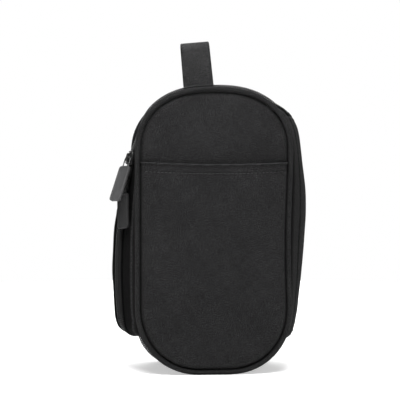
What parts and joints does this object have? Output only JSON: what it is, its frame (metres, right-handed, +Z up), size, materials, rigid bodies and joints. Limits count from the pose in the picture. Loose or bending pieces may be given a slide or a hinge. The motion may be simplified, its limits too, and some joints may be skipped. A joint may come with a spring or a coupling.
{
  "type": "hanging toiletry bag",
  "caption": "Upright soft clamshell wash bag with a piped, padded front and back, a slip pocket, a two-way coil zip with long pulls, a fabric spine hinge and a strap loop to hang it by.",
  "frame": {"origin": "on the base, under the middle of the bag", "axes": "+Z up, -Y out of the front with the slip pocket, +X towards the spine on the right"},
  "size_m": [0.1661, 0.0983, 0.2832],
  "materials": {
    "shell_fabric": "600D polyester plain weave, matt",
    "piping": "fabric-covered cord, matt",
    "lining": "fine taffeta, slight sheen",
    "foam": "soft open-cell padding",
    "zipper_tape": "knitted herringbone tape, matt",
    "zipper_coil": "nylon coil, satin",
    "slider_metal": "black enamel over zinc, satin",
    "pull_wire": "black enamel over wire, satin",
    "pull_rubber": "soft moulded tab, matt",
    "webbing": "folded self-fabric strap, matt",
    "mesh": "knitted net, matt",
    "elastic": "ribbed elastic, matt",
    "binding": "folded grosgrain tape, matt"
  },
  "bodies": {
    "back_half": {"back_panel": "shell_fabric", "back_foam": "foam", "back_lining_floor": "lining", "back_lining_wall": "lining", "back_piping": "piping", "back_gusset": "shell_fabric", "spine_back": "shell_fabric", "zipper_tape_back": "zipper_tape", "zipper_coil_back": "zipper_coil", "zip_stop_upper": "zipper_coil", "zip_stop_lower": "zipper_coil", "back_binding": "binding", "elastic_loops": "elastic"},
    "lid": {"front_panel": "shell_fabric", "front_pocket": "shell_fabric", "front_foam": "foam", "front_lining_floor": "lining", "front_lining_wall": "lining", "front_piping": "piping", "front_gusset": "shell_fabric", "spine_front": "shell_fabric", "zipper_tape_front": "zipper_tape", "zipper_coil_front": "zipper_coil", "front_binding": "binding", "lid_mesh_pocket": "mesh", "lid_mesh_binding": "elastic"},
    "slider_upper": {"slider_upper": "slider_metal"},
    "slider_lower": {"slider_lower": "slider_metal"},
    "pull_upper": {"pull_link_upper": "pull_wire", "pull_tab_upper": "pull_rubber"},
    "pull_lower": {"pull_link_lower": "pull_wire", "pull_tab_lower": "pull_rubber"},
    "hang_loop": {"hang_loop": "webbing"}
  },
  "joints": [
    {"name": "lid_open", "type": "hinge", "parent": "back_half", "child": "lid", "pos_m": [0.079, -0.0175, 0.12], "axis": [0, 0, 1], "range_deg": [0, 175]},
    {"name": "slider_upper_run", "type": "hinge", "parent": "back_half", "child": "slider_upper", "pos_m": [0.3208, -0.0175, 0.085], "axis": [0, 1, 0], "range_deg": [0, 1]},
    {"name": "slider_lower_run", "type": "hinge", "parent": "back_half", "child": "slider_lower", "pos_m": [0.3208, -0.0175, 0.085], "axis": [0, 1, 0], "range_deg": [-13.8, 0]},
    {"name": "pull_upper_swing", "type": "hinge", "parent": "slider_upper", "child": "pull_upper", "pos_m": [-0.0708, -0.0199, 0.18074], "axis": [-0.6505, 0.7593, -0.0158], "range_deg": [0, 110]},
    {"name": "pull_lower_swing", "type": "hinge", "parent": "slider_lower", "child": "pull_lower", "pos_m": [-0.07539, -0.02012, 0.15854], "axis": [-0.6766, 0.7199, -0.1548], "range_deg": [0, 110]},
    {"name": "loop_tilt", "type": "hinge", "parent": "back_half", "child": "hang_loop", "pos_m": [-0.0075, 0.0175, 0.2391], "axis": [0.9956, 0, 0.0941], "range_deg": [-60, 60], "stiffness_Nm_per_rad": 0.01}
  ],
  "couplings": [
    {"joint": "pull_lower_swing", "follows": "pull_upper_swing", "ratio": 1}
  ]
}
